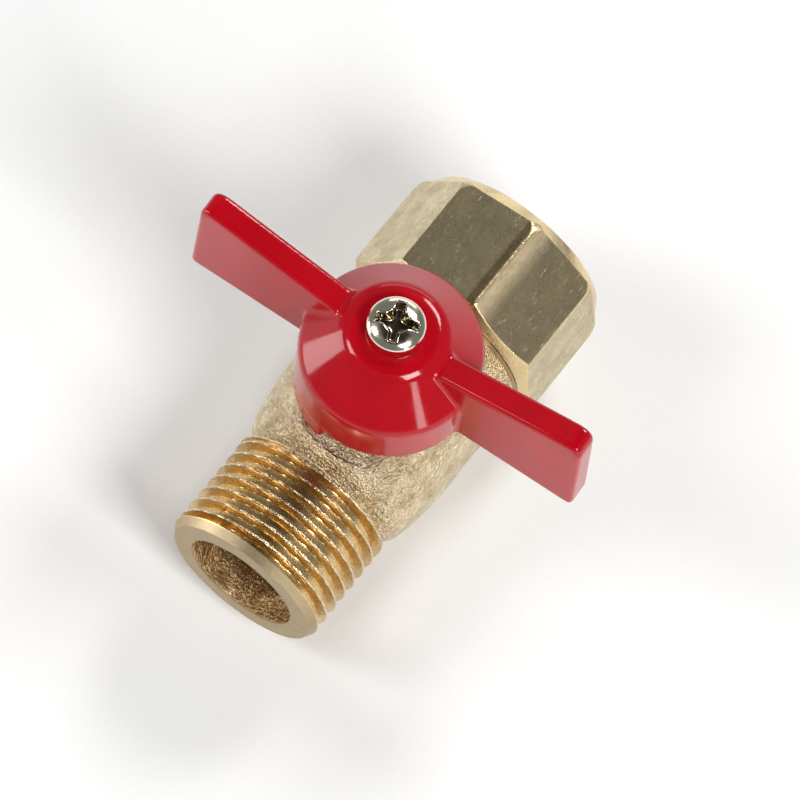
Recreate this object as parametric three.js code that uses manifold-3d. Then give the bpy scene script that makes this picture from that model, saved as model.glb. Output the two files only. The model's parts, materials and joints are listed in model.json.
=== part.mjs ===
// A small brass ball valve: a G1/2 male end, a G1/2 female end on an eight-sided
// screwed-in connector, and a red butterfly handle that turns the ball by a quarter turn.
// Millimetres. X runs along the flow towards the female end and Z up the stem. The origin
// is under the stem, at the level of the lowest edge of the eight-sided connector.
import * as THREE from "three";
import { ConvexGeometry } from "three/addons/geometries/ConvexGeometry.js";
import { mergeVertices } from "three/addons/utils/BufferGeometryUtils.js";
import Module from "manifold-3d";

const wasm = await Module();
wasm.setup();
const { Manifold, Mesh: SolidMesh } = wasm;

// ---- driving dimensions ----
const HALF_LENGTH = 27.3; // from the stem axis to either end face
const THREAD = { major: 10.478, minor: 9.316, pitch: 1.814 }; // G1/2, radii
const THREAD_RELIEF = 0.4; // step at the inner end of either thread
const SEGMENTS = 36; // sides of the large round pieces
const SMALL_SEGMENTS = 24; // sides of the small round pieces

const BARREL_RADIUS = 11.85;
const SEAM_X = 11.85; // where the body ends and the connector's collar begins
const SEAM_GAP = 0.1; // left between any two pieces that lie face to face
const PAST = 1; // how far a cut reaches past what it cuts
const MALE_FACE = { radius: 9.83, chamfer: 1.1, lead: 0.6 }; // lead: plain length before the thread
const MALE_THREAD_END = -13.9;
const NECK = { radius: 8.65, start: -12.9, end: -12.4 };
const SHOULDER = { x: -9.3, radius: 8.0, round: 3.1, from: -68 }; // centre and radius of its arc
const BULGE = [[11.45, -7.6], [11.75, -5.0], [BARREL_RADIUS, -3.0]]; // from the shoulder on
const BODY_MOUTH = { radius: 10.75, floor: 10.4, seatEdge: 4.0 }; // what the connector screws into
const BORE_RADIUS = 7.12; // as cast, in the male end
const PORT_RADIUS = 4.75; // the way through the ball and the necks beside it
const PORT_INLET_X = -15.5; // where the cast bore narrows to the port
const PORT_TAPER = 1.2; // length over which a bore narrows to the port

const OCTAGON = { radius: 13.85, blank: 13.87, front: 13.07, back: 25.86, turn: 12.5 }; // degrees about X
const AXIS_HEIGHT = OCTAGON.radius * Math.cos(THREE.MathUtils.degToRad(OCTAGON.turn));
const END_FACE = { radius: 12.15, mouth: 10.7, mouthDepth: 1.35 }; // female end
const SOCKET_X = 14.6; // bottom of the female thread
const SEAL_RING = { centre: 10.13, section: 0.5, x: 11.1 };
const SPIGOT = { radius: 9.5, start: 5.2 }; // the connector's neck inside the body

const BALL_RADIUS = 7.9;
const CHAMBER_RADIUS = 8.2;
const SEAT = { inner: 4.95, outer: 7.1, back: 8.5, lip: 4.4, blank: 3, running: 0.08 };
const SEAT_POCKET_RADIUS = SEAT.outer + 0.05;
const SLOT = { width: 3.0, floor: 5.9 };
const TANG = { length: 7.2, play: 0.1 }; // of the stem, in the ball's slot

const STEM = { radius: 3.6, collar: 4.7, collarFoot: 8.25, collarTop: 9.6, top: 24.3 };
const STEM_BORE_RADIUS = 3.65;
const COLLAR_BORE = { radius: 4.85, roof: 10.4 }; // in the body, over the stem's collar
const WASHER = { inner: 3.72, outer: 4.75, bottom: 9.65, top: 10.35 };
const O_RING = { section: 0.48, centre: 3.12, lower: 12.7, upper: 15.1, play: 0.05, sidePlay: 0.12 };
const BOSS = { radius: 6.2, top: 17.1 };
const PLATFORM = { radius: 11.2, level: 9.9 }; // spot face that the handle's tab swings over

const RIM_Z = 13.6; // lower rim of the handle's skirt
const SKIRT = { radius: 10.87, top: 20.4, inner: 9.3, roof: 19.4, edge: 0.3, innerEdge: 0.8 };
const POST = { radius: 5.3, foot: BOSS.top + 0.3 }; // under the hub, holds the square socket
const DISH = { rim: 5.25, rimZ: 26.6, floor: 4.3, floorZ: 26.3, edge: 0.35 }; // in the top of the cone
const WING = { tip: 26.7, thickness: 3.5, topAt20: 28.0, rise: 0.225, corner: 1.2, bevel: 0.6 };
const TAB = { inner: 8.0, outer: 10.85, bottom: 10.15, root: 0.4, from: 105, to: 168 }; // degrees about Z
const SQUARE = { stem: 5.0, socket: 5.1, top: 24.6 };
const SCREW = { head: 3.48, wall: 2.0, top: 29.1, shank: 1.8, foot: 16.5, play: 0.05 };
const SCREW_HOLE = { radius: 1.85, foot: 15.7, through: 2.15 }; // tapped in the stem, plain above it
const CROSS = { length: 3.8, width: 0.9, depth: 1.8, turn: 20 }; // the screw's cross recess

const QUARTER_TURN = 90;
const STOP_GAP = 0.6; // degrees left between the tab and a stop at each end of the travel
const STOP = { inner: 5.9, outer: 9.1, bottom: 6.8, top: 14.4, width: 12 };
const PART_OPEN = 3; // degrees off the closed stop at which the valve is drawn

// ---- materials ----
const finish = (color, roughness, metalness) =>
  new THREE.MeshStandardMaterial({ color, roughness, metalness });
const CAST_BRASS = 0xc0aa80;
const materials = {
  valve_body: finish(CAST_BRASS, 0.42, 1),
  end_connector: finish(0xb8a070, 0.28, 1),
  ball: finish(0xd8d8d6, 0.08, 1),
  seat_ring_inlet: finish(0xf0eee6, 0.5, 0),
  seat_ring_outlet: finish(0xf0eee6, 0.5, 0),
  connector_seal_ring: finish(0x1c1c1c, 0.6, 0),
  stem: finish(0xc9a860, 0.25, 1),
  stem_thrust_washer: finish(0xf0eee6, 0.5, 0),
  stem_o_ring_lower: finish(0x1c1c1c, 0.6, 0),
  stem_o_ring_upper: finish(0x1c1c1c, 0.6, 0),
  handle: finish(0xb8101c, 0.22, 0),
  handle_screw: finish(0xcfc39c, 0.2, 1),
};

// ---- solids from three.js geometry ----
const radians = THREE.MathUtils.degToRad;

function solidOf(geometry) {
  const bare = geometry.index ? geometry.toNonIndexed() : geometry.clone();
  bare.deleteAttribute("normal");
  bare.deleteAttribute("uv");
  const merged = mergeVertices(bare, 1e-4);
  const corners = merged.index.array;
  const kept = [];
  for (let i = 0; i < corners.length; i += 3) {
    const [a, b, c] = corners.subarray(i, i + 3);
    if (a !== b && b !== c && c !== a) kept.push(a, b, c);
  }
  return new Manifold(
    new SolidMesh({
      numProp: 3,
      vertProperties: merged.attributes.position.array,
      triVerts: new Uint32Array(kept),
    }),
  );
}

// Turns a closed outline of [radius, height] points about Z, or about X when axis is "x".
function revolve(outline, axis = "z", segments = SEGMENTS) {
  const points = outline.map(([radius, height]) => new THREE.Vector2(radius, height));
  if (THREE.ShapeUtils.area(points) < 0) points.reverse();
  const start = points.findIndex((point) => point.x === 0);
  const onAxis = start >= 0;
  let ordered = onAxis ? [...points.slice(start), ...points.slice(0, start)] : points;
  if (onAxis && ordered[1].x === 0) ordered = [...ordered.slice(1), ordered[0]];
  if (!onAxis) ordered = [...ordered, ordered[0]];
  const geometry = new THREE.LatheGeometry(ordered, segments);
  return solidOf(axis === "x" ? geometry.rotateZ(-Math.PI / 2) : geometry.rotateX(Math.PI / 2));
}

function disc(radius, bottom, top, axis = "z", segments = SEGMENTS) {
  return revolve([[0, bottom], [radius, bottom], [radius, top], [0, top]], axis, segments);
}

function block(low, high) {
  const size = high.map((value, i) => value - low[i]);
  const centre = high.map((value, i) => (value + low[i]) / 2);
  return solidOf(new THREE.BoxGeometry(...size).translate(...centre));
}

// A sector of a ring about Z, between two radii, two angles in degrees and two levels.
function sector(inner, outer, from, to, bottom, top) {
  const shape = new THREE.Shape();
  shape.absarc(0, 0, outer, radians(from), radians(to), false);
  shape.absarc(0, 0, inner, radians(to), radians(from), true);
  shape.closePath();
  const settings = { depth: top - bottom, bevelEnabled: false, curveSegments: 8 };
  return solidOf(new THREE.ExtrudeGeometry(shape, settings).translate(0, 0, bottom));
}

// Points of an arc in a [radius, height] outline, from one angle to another in degrees.
function arc(centreRadius, centreHeight, radius, from, to, steps) {
  const points = [];
  for (let i = 0; i <= steps; i += 1) {
    const angle = radians(from + ((to - from) * i) / steps);
    const along = centreRadius + radius * Math.cos(angle);
    points.push([along, centreHeight + radius * Math.sin(angle)]);
  }
  return points;
}

// Ridges of a pipe thread as an outline: a groove every pitch from start towards end.
function threadRidges(start, end, crest, root) {
  const step = Math.sign(end - start) * THREAD.pitch;
  const count = Math.floor(Math.abs(end - start) / THREAD.pitch);
  const points = [];
  for (let i = 0; i < count; i += 1) {
    const at = start + i * step;
    points.push([crest, at + 0.1 * step]);
    points.push([root, at + 0.5 * step]);
    points.push([crest, at + 0.9 * step]);
  }
  return points;
}

// ---- sub-parts, all about the flow axis; the root group lifts them to AXIS_HEIGHT ----
function stopLug(from) {
  return sector(STOP.inner, STOP.outer, from, from + STOP.width, STOP.bottom, STOP.top);
}

function valveBody() {
  const threadStart = MALE_FACE.chamfer - HALF_LENGTH;
  const outer = revolve(
    [
      [0, -HALF_LENGTH],
      [MALE_FACE.radius, -HALF_LENGTH],
      [THREAD.major, threadStart],
      ...threadRidges(threadStart + MALE_FACE.lead, MALE_THREAD_END, THREAD.major, THREAD.minor),
      [THREAD.major - THREAD_RELIEF, MALE_THREAD_END],
      [NECK.radius, NECK.start],
      [NECK.radius, NECK.end],
      ...arc(SHOULDER.radius, SHOULDER.x, SHOULDER.round, SHOULDER.from, 0, 5),
      ...BULGE,
      [BARREL_RADIUS, SEAM_X - SEAM_GAP],
      [0, SEAM_X - SEAM_GAP],
    ],
    "x",
  );
  const spotFace = disc(PLATFORM.radius, PLATFORM.level, BARREL_RADIUS + PAST);
  const boss = disc(BOSS.radius, CHAMBER_RADIUS, BOSS.top, "z", SMALL_SEGMENTS);
  const closedStop = stopLug(TAB.from - STOP_GAP - STOP.width);
  const openStop = stopLug(TAB.to + QUARTER_TURN + STOP_GAP);
  const waterway = revolve(
    [
      [0, -HALF_LENGTH - PAST],
      [BORE_RADIUS, -HALF_LENGTH - PAST],
      [BORE_RADIUS, PORT_INLET_X],
      [PORT_RADIUS, PORT_INLET_X + PORT_TAPER],
      [PORT_RADIUS, -SEAT.back - SEAM_GAP],
      [SEAT_POCKET_RADIUS, -SEAT.back - SEAM_GAP],
      [SEAT_POCKET_RADIUS, -SEAT.lip],
      [CHAMBER_RADIUS, -SEAT.lip],
      [CHAMBER_RADIUS, BODY_MOUTH.seatEdge],
      [SPIGOT.radius + SEAM_GAP, BODY_MOUTH.seatEdge],
      [SPIGOT.radius + SEAM_GAP, BODY_MOUTH.floor],
      [BODY_MOUTH.radius, BODY_MOUTH.floor],
      [BODY_MOUTH.radius, SEAM_X + PAST],
      [0, SEAM_X + PAST],
    ],
    "x",
  );
  const stemBore = revolve(
    [
      [0, 0],
      [COLLAR_BORE.radius, 0],
      [COLLAR_BORE.radius, COLLAR_BORE.roof],
      [STEM_BORE_RADIUS, COLLAR_BORE.roof],
      [STEM_BORE_RADIUS, BOSS.top + PAST],
      [0, BOSS.top + PAST],
    ],
    "z",
    SMALL_SEGMENTS,
  );
  return outer
    .subtract(spotFace)
    .add(boss)
    .add(closedStop)
    .add(openStop)
    .subtract(waterway)
    .subtract(stemBore);
}

// Points of a regular polygon about X whose first corner is turned from Z, in degrees.
function polygon(radius, x, sides, turn) {
  return Array.from({ length: sides }, (_, i) => {
    const angle = radians(turn) + (2 * Math.PI * i) / sides;
    return new THREE.Vector3(x, -radius * Math.sin(angle), radius * Math.cos(angle));
  });
}

function endConnector() {
  // Eight flats that run out into the round end face.
  const octagon = solidOf(
    new ConvexGeometry([
      ...polygon(OCTAGON.radius, SEAM_X, 8, OCTAGON.turn),
      ...polygon(OCTAGON.radius, OCTAGON.back, 8, OCTAGON.turn),
      ...polygon(END_FACE.radius, HALF_LENGTH, SEGMENTS * 2, OCTAGON.turn),
    ]),
  );
  const turned = revolve(
    [
      [0, SEAM_X],
      [BARREL_RADIUS, SEAM_X],
      [OCTAGON.blank, OCTAGON.front],
      [OCTAGON.blank, HALF_LENGTH + PAST],
      [0, HALF_LENGTH + PAST],
    ],
    "x",
    SEGMENTS * 2,
  );
  const spigot = disc(SPIGOT.radius, SPIGOT.start, SEAM_X + PAST, "x");
  const waterway = revolve(
    [
      [0, 0],
      [SEAT_POCKET_RADIUS, 0],
      [SEAT_POCKET_RADIUS, SEAT.back + SEAM_GAP],
      [PORT_RADIUS, SEAT.back + SEAM_GAP],
      [PORT_RADIUS, SOCKET_X - PORT_TAPER],
      [THREAD.minor - THREAD_RELIEF, SOCKET_X],
      ...threadRidges(SOCKET_X + THREAD_RELIEF, HALF_LENGTH - 1, THREAD.minor, THREAD.major),
      [THREAD.minor, HALF_LENGTH - END_FACE.mouthDepth],
      [END_FACE.mouth, HALF_LENGTH],
      [END_FACE.mouth, HALF_LENGTH + PAST],
      [0, HALF_LENGTH + PAST],
    ],
    "x",
  );
  return octagon.intersect(turned).add(spigot).subtract(waterway);
}

function sphere(radius) {
  const outline = arc(0, 0, radius, -90, 90, SEGMENTS / 2);
  outline[0][0] = 0;
  outline[SEGMENTS / 2][0] = 0;
  return revolve(outline, "x");
}

// A ring of soft sealing plastic whose front is hollowed to the ball; side is -1 or 1.
function seatRing(side) {
  const ring = revolve(
    [
      [SEAT.inner, side * SEAT.blank],
      [SEAT.outer, side * SEAT.blank],
      [SEAT.outer, side * SEAT.back],
      [SEAT.inner, side * SEAT.back],
    ],
    "x",
  );
  const lip = side * SEAT.lip;
  const beforeLip = disc(SEAT.outer + PAST, Math.min(0, lip), Math.max(0, lip), "x");
  return ring.subtract(beforeLip).subtract(sphere(BALL_RADIUS + SEAT.running));
}

function oRing(radius, section, height, axis = "z") {
  return revolve(arc(radius, height, section, 0, 315, 7), axis, SMALL_SEGMENTS);
}

function thrustWasher() {
  const { inner, outer, bottom, top } = WASHER;
  const outline = [[inner, bottom], [outer, bottom], [outer, top], [inner, top]];
  return revolve(outline, "z", SMALL_SEGMENTS);
}

function ball() {
  const reach = BALL_RADIUS + PAST;
  const port = disc(PORT_RADIUS, -reach, reach, "x", SMALL_SEGMENTS).rotate([0, 0, 90]);
  const slot = block([-reach, -SLOT.width / 2, SLOT.floor], [reach, SLOT.width / 2, reach]);
  return sphere(BALL_RADIUS).subtract(port).subtract(slot);
}

function stem() {
  const grooveRadius = O_RING.centre - O_RING.section - O_RING.play;
  const grooveHalf = O_RING.section + O_RING.sidePlay;
  const groove = (level) => [
    [STEM.radius, level - grooveHalf],
    [grooveRadius, level - grooveHalf],
    [grooveRadius, level + grooveHalf],
    [STEM.radius, level + grooveHalf],
  ];
  const shaft = revolve(
    [
      [0, STEM.collarFoot],
      [STEM.collar, STEM.collarFoot],
      [STEM.collar, STEM.collarTop],
      [STEM.radius, STEM.collarTop],
      ...groove(O_RING.lower),
      ...groove(O_RING.upper),
      [STEM.radius, STEM.top],
      [0, STEM.top],
    ],
    "z",
    SMALL_SEGMENTS,
  );
  const half = SQUARE.stem / 2;
  const squared = block([-half, -half, BOSS.top], [half, half, STEM.top + PAST]);
  const round = disc(STEM.collar + PAST, STEM.collarFoot - PAST, BOSS.top, "z", SMALL_SEGMENTS);
  const tangHalf = SLOT.width / 2 - TANG.play;
  const tang = block(
    [-TANG.length / 2, -tangHalf, SLOT.floor + TANG.play],
    [TANG.length / 2, tangHalf, STEM.collarFoot + 0.1],
  );
  const tapped = disc(SCREW_HOLE.radius, SCREW_HOLE.foot, STEM.top + PAST, "z", SMALL_SEGMENTS);
  return shaft.intersect(squared.add(round)).add(tang).subtract(tapped);
}

function wingTop(reach) {
  return WING.topAt20 + WING.rise * (reach - 20);
}

// Both wings as one upright plate through the hub, with softened edges and round corners.
function wings() {
  const shape = new THREE.Shape();
  const tip = WING.tip - WING.bevel;
  const bottom = RIM_Z + WING.bevel;
  const top = wingTop(WING.tip) - WING.bevel;
  const corner = WING.corner;
  shape.moveTo(-tip + corner, bottom);
  shape.lineTo(tip - corner, bottom);
  shape.quadraticCurveTo(tip, bottom, tip, bottom + corner);
  shape.lineTo(tip, top - corner);
  shape.quadraticCurveTo(tip, top, tip - corner, top - WING.rise * corner);
  shape.lineTo(0, wingTop(0) - WING.bevel);
  shape.lineTo(-tip + corner, top - WING.rise * corner);
  shape.quadraticCurveTo(-tip, top, -tip, top - corner);
  shape.lineTo(-tip, bottom + corner);
  shape.quadraticCurveTo(-tip, bottom, -tip + corner, bottom);
  const flat = WING.thickness - 2 * WING.bevel;
  const plate = new THREE.ExtrudeGeometry(shape, {
    depth: flat,
    bevelEnabled: true,
    bevelSize: WING.bevel,
    bevelThickness: WING.bevel,
    bevelSegments: 3,
    curveSegments: 4,
  });
  return solidOf(plate.translate(0, 0, -flat / 2).rotateX(Math.PI / 2).rotateZ(Math.PI / 2));
}

function handle() {
  const hub = revolve([
    [0, DISH.floorZ],
    [DISH.floor, DISH.floorZ],
    [DISH.rim - DISH.edge, DISH.rimZ - DISH.edge / 5],
    [DISH.rim, DISH.rimZ],
    [DISH.rim + DISH.edge, DISH.rimZ - DISH.edge / 2],
    [SKIRT.radius - SKIRT.edge, SKIRT.top],
    [SKIRT.radius, SKIRT.top - SKIRT.edge],
    [SKIRT.radius, RIM_Z],
    [0, RIM_Z],
  ]);
    const cavity = revolve([
    [0, RIM_Z - PAST],
    [SKIRT.inner, RIM_Z - PAST],
    [SKIRT.inner, SKIRT.roof - SKIRT.innerEdge],
    [SKIRT.inner - SKIRT.innerEdge, SKIRT.roof],
    [POST.radius, SKIRT.roof],
    [POST.radius, POST.foot],
    [0, POST.foot],
  ]);
  const tabTop = SKIRT.roof + TAB.root;
  const tab = sector(TAB.inner, TAB.outer, TAB.from, TAB.to, TAB.bottom, tabTop);
  const half = SQUARE.socket / 2;
  const socket = block([-half, -half, POST.foot - PAST], [half, half, SQUARE.top]);
  const screwHole = disc(SCREW_HOLE.through, SQUARE.top - PAST, DISH.floorZ + PAST, "z", SMALL_SEGMENTS);
  return hub.add(wings()).subtract(cavity).add(tab).subtract(socket).subtract(screwHole);
}

// Quarter of an ellipse from the wall of a head in to its crown, as [radius, height] points.
function domed(radius, wallTop, crown, steps) {
  return Array.from({ length: steps + 1 }, (_, i) => {
    const angle = (Math.PI / 2) * (i / steps);
    const along = i === steps ? 0 : radius * Math.cos(angle);
    return [along, wallTop + (crown - wallTop) * Math.sin(angle)];
  });
}

function handleScrew() {
  const seat = DISH.floorZ + SCREW.play;
  const turned = revolve(
    [
      [0, SCREW.foot],
      [SCREW.shank, SCREW.foot],
      [SCREW.shank, seat],
      [SCREW.head, seat],
      ...domed(SCREW.head, seat + SCREW.wall, SCREW.top, 3),
    ],
    "z",
    SMALL_SEGMENTS,
  );
  const low = [-CROSS.length / 2, -CROSS.width / 2, SCREW.top - CROSS.depth];
  const high = [CROSS.length / 2, CROSS.width / 2, SCREW.top + PAST];
  const [first, second] = [0, 90].map((angle) =>
    block(low, high).rotate([0, 0, angle + CROSS.turn]),
  );
  return turned.subtract(first).subtract(second);
}

// ---- assembly ----
function meshOf(name, solid) {
  const { vertProperties, triVerts, numProp, numVert } = solid.getMesh();
  const places = new Float32Array(numVert * 3);
  for (let i = 0; i < numVert; i += 1) {
    places.set(vertProperties.subarray(i * numProp, i * numProp + 3), i * 3);
  }
  const geometry = new THREE.BufferGeometry();
  geometry.setAttribute("position", new THREE.BufferAttribute(places, 3));
  geometry.setIndex(new THREE.BufferAttribute(triVerts, 1));
  geometry.computeVertexNormals();
  const mesh = new THREE.Mesh(geometry, materials[name]);
  mesh.name = name;
  return mesh;
}

const valve = new THREE.Group();
valve.position.z = AXIS_HEIGHT;
valve.add(
  meshOf("valve_body", valveBody()),
  meshOf("end_connector", endConnector()),
  meshOf("seat_ring_inlet", seatRing(-1)),
  meshOf("seat_ring_outlet", seatRing(1)),
  meshOf("connector_seal_ring", oRing(SEAL_RING.centre, SEAL_RING.section, SEAL_RING.x, "x")),
  meshOf("stem_thrust_washer", thrustWasher()),
);

const turning = new THREE.Group();
turning.rotation.z = radians(PART_OPEN);
turning.add(
  meshOf("ball", ball()),
  meshOf("stem", stem()),
  meshOf("stem_o_ring_lower", oRing(O_RING.centre, O_RING.section, O_RING.lower)),
  meshOf("stem_o_ring_upper", oRing(O_RING.centre, O_RING.section, O_RING.upper)),
  meshOf("handle", handle()),
  meshOf("handle_screw", handleScrew()),
);
valve.add(turning);

export default valve;
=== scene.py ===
"""A small brass ball valve with a red butterfly handle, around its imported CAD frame.

Lengths are in millimetres in the valve's own frame: X along the flow towards the female
end, Z up the stem, and zero on the flow axis. mesh_of() turns them into the frame's metres.
"""

import json
import math

import bpy
import numpy as np
from mathutils import Matrix, Vector, noise


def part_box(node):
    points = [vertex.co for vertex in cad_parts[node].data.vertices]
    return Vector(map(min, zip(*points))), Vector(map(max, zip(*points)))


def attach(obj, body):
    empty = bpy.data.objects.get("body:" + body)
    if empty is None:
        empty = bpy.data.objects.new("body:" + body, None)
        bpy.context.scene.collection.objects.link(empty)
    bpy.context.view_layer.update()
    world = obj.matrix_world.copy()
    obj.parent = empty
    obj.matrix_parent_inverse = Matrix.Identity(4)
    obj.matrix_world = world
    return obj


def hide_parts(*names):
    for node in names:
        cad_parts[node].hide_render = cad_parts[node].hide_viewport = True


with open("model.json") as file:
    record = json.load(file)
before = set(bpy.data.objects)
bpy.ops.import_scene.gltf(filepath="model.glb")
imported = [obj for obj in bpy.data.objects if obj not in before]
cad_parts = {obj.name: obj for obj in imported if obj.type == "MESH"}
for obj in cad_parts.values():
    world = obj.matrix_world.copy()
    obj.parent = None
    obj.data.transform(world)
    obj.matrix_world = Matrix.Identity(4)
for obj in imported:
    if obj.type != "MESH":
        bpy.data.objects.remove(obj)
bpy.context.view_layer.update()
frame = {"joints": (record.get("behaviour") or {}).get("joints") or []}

# ---- sizes: mostly the CAD part's own, with a few trimmed for rounded edges ----
MM = 0.001
FLOW_AXIS_Z = frame["joints"][0]["pos_m"][2] / MM
HALF_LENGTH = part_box("end_connector")[1].x / MM
PITCH = 1.814
THREAD_MAJOR = 10.478
THREAD_MINOR = 9.316
THREAD_RELIEF = 0.4

SEAM_X = 11.8
SEAM_GAP = 0.1
SEAM_BEVEL = 0.15
BARREL_RADIUS = 11.85
SHOULDER = {"x": -9.3, "radius": 8.0, "round": 3.1, "neck_angle": -68}
BULGE = [[-7.6, 11.45], [-5.0, 11.75], [-3.0, BARREL_RADIUS]]
NECK = {"radius": 8.65, "start": -13.0, "end": -12.4}
BODY_MOUTH = {"radius": 10.75, "floor": 10.4, "seat_edge": 4.0}
BORE_RADIUS = 7.12
BORE_MOUTH = {"radius": BORE_RADIUS + 0.2, "depth": 0.25}
PORT_RADIUS = 4.75
PORT_INLET_X = -15.5
PORT_TAPER = 1.2
FACE_RADIUS = 9.83
THREAD_START = -26.2
THREAD_END = -13.7

OCTAGON = {"radius": 13.85, "front": 13.07, "back": 25.86, "vertex_angle": 102.5}
CHAMFER_OUTSIDE = 13.9
BACK_FACE_RADIUS = 12.15
MOUTH = {"radius": 10.7, "depth": 1.35}
SOCKET_X = 14.6
SEAL_RING = {"centre": 10.13, "section": 0.5, "x": 11.1}
SPIGOT = {"radius": 9.5, "start": 5.2}

BALL_RADIUS = 7.9
CHAMBER_RADIUS = 8.2
SEAT = {"inner": 4.95, "outer": 7.1, "back": 8.5, "lip": 4.4, "running": 0.08}
SEAT_POCKET_RADIUS = SEAT["outer"] + 0.05
SLOT = {"width": 3.0, "floor": 5.9}
TANG = {"half_length": 3.6, "side_play": 0.1, "foot_play": 0.15}

STEM = {"radius": 3.6, "collar": 4.7, "foot": 8.25, "collar_top": 9.6, "top": 24.3}
STEM_BORE_RADIUS = 3.65
COLLAR_BORE = {"radius": 4.85, "roof": 10.4, "foot": 5.0}
WASHER = {"inner": 3.72, "outer": 4.75, "bottom": 9.65, "top": 10.35}
O_RING = {"section": 0.48, "centre": 3.12, "lower": 12.7, "upper": 15.1}
O_RING_PLAY = {"floor": 0.05, "side": 0.12}
BOSS = {"radius": 6.2, "top": 17.1}
SPOT_FACE = {"radius": 11.2, "level": 9.9, "top": 14.0}
STOP = {"inner": 5.9, "outer": 9.1, "bottom": 6.8, "top": 14.4, "width": 12}
STOP_ANGLES = (92.4, 258.6)

RIM_Z = 13.6
SKIRT = {"radius": 10.87, "top": 20.5, "inner": 9.3, "roof": 19.4}
CONE_TOP = {"outside": 0.55, "below": 0.05}  # its place from the rim of the dish
POST = {"radius": 5.3, "foot": BOSS["top"] + 0.3}
DISH = {"rim": 5.1, "rim_z": 26.42, "floor": 4.2, "floor_z": 26.3}
WING = {"tip": 26.75, "half": 1.77, "top_at_20": 28.05, "rise": 0.225}
WING_DRAFT = {"tip": 0.035, "side": 0.012, "level": 7}  # per mm up; full thickness at that level
WINGS_TOP = 29.2
TAB = {"inner": 8.0, "bottom": 10.15, "start": 105, "end": 168, "root": 0.4}
SQUARE = {"stem": 5.0, "socket": 5.1, "top": 24.6}
SCREW = {"head": 3.48, "seat": 26.35, "wall_top": 27.8, "top": 29.1, "shank": 1.8, "foot": 16.5}
SCREW_HOLE = {"tapped": 1.85, "foot": 15.7, "through": 2.15}
PART_OPEN = math.radians(3)  # the handle's angle off its closed stop

# ---- how finely the pieces are meshed ----
TURNED_COLUMNS = 320
OCTAGON_COLUMNS = 400
SMALL_COLUMNS = 96
HANDLE_STEP = 0.21
SCREW_STEP = 0.09
STEM_STEP = 0.17
BALL_STEP = 0.24
HIDDEN_STEP = 2.0
SHARP_ANGLE = 35

# ---- mesh tools ----


def mesh_of(name, points, quads, values=None):
    """An object from points in mm and four-cornered faces, with named values at its points."""
    mesh = bpy.data.meshes.new(name)
    lifted = (points + np.array([0, 0, FLOW_AXIS_Z])) * MM
    corners = lifted[quads]
    spans = np.cross(corners[:, 2] - corners[:, 0], corners[:, 3] - corners[:, 1])
    if (spans * corners.mean(1)).sum() < 0:
        quads = quads[:, ::-1]
    mesh.vertices.add(len(points))
    mesh.vertices.foreach_set("co", lifted.ravel().astype(np.float32))
    mesh.loops.add(quads.size)
    mesh.loops.foreach_set("vertex_index", np.ascontiguousarray(quads).ravel().astype(np.int32))
    mesh.polygons.add(len(quads))
    mesh.polygons.foreach_set("loop_start", np.arange(0, quads.size, 4, dtype=np.int32))
    mesh.update(calc_edges=True)
    for key, value in (values or {}).items():
        layer = mesh.attributes.new(key, "FLOAT", "POINT")
        layer.data.foreach_set("value", value.ravel().astype(np.float32))
    mesh.shade_smooth()
    made = bpy.data.objects.new(name, mesh)
    bpy.context.scene.collection.objects.link(made)
    return made


def resample(corners, step):
    """Points at most step apart along a line of [x, radius] corners, with every corner kept."""
    points = []
    for start, end in zip(corners, corners[1:]):
        count = max(1, math.ceil(math.dist(start, end) / step))
        points += [np.array(start) + (np.array(end) - start) * i / count for i in range(count)]
    return points


def arc(centre, radius, start, end, count):
    """Points of an arc about centre, an [x, radius] point; at 0 degrees it is furthest from X."""
    angles = np.radians(np.linspace(start, end, count))
    return [[centre[0] + radius * math.sin(a), centre[1] + radius * math.cos(a)] for a in angles]


def turned(name, stretches, columns, shape=None, axis="x", values=None):
    """A closed mesh of an outline turned about an axis.

    stretches is a list of (corners, step), each a stretch of the outline in [along, radius]
    points that ends where the next one starts. shape(along, angle, radius) may change the
    radius, and values(along, angle, radius) gives the named values at the points.
    """
    outline = np.array([p for corners, step in stretches for p in resample(corners, step)])
    angle = np.linspace(0, 2 * math.pi, columns, endpoint=False)[None, :]
    along = np.broadcast_to(outline[:, :1], (len(outline), columns))
    radius = np.broadcast_to(outline[:, 1:], along.shape)
    angle = np.broadcast_to(angle, along.shape)
    named = values(along, angle, radius) if values else None
    if shape:
        radius = shape(along, angle, radius)
    across, up = radius * np.cos(angle), radius * np.sin(angle)
    order = [along, across, up] if axis == "x" else [across, up, along]
    points = np.stack(order, -1).reshape(-1, 3)
    index = np.arange(len(points)).reshape(along.shape)
    ahead, beside = np.roll(index, -1, 0), np.roll(index, -1, 1)
    corner = np.roll(ahead, -1, 1)
    quads = np.stack([index, beside, corner, ahead], -1).reshape(-1, 4)
    return mesh_of(name, points, quads, named)


SETTLING_ROUNDS = 4
SLOPE_SHARE = 0.05
LEAST_SLOPE = 0.25


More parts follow.
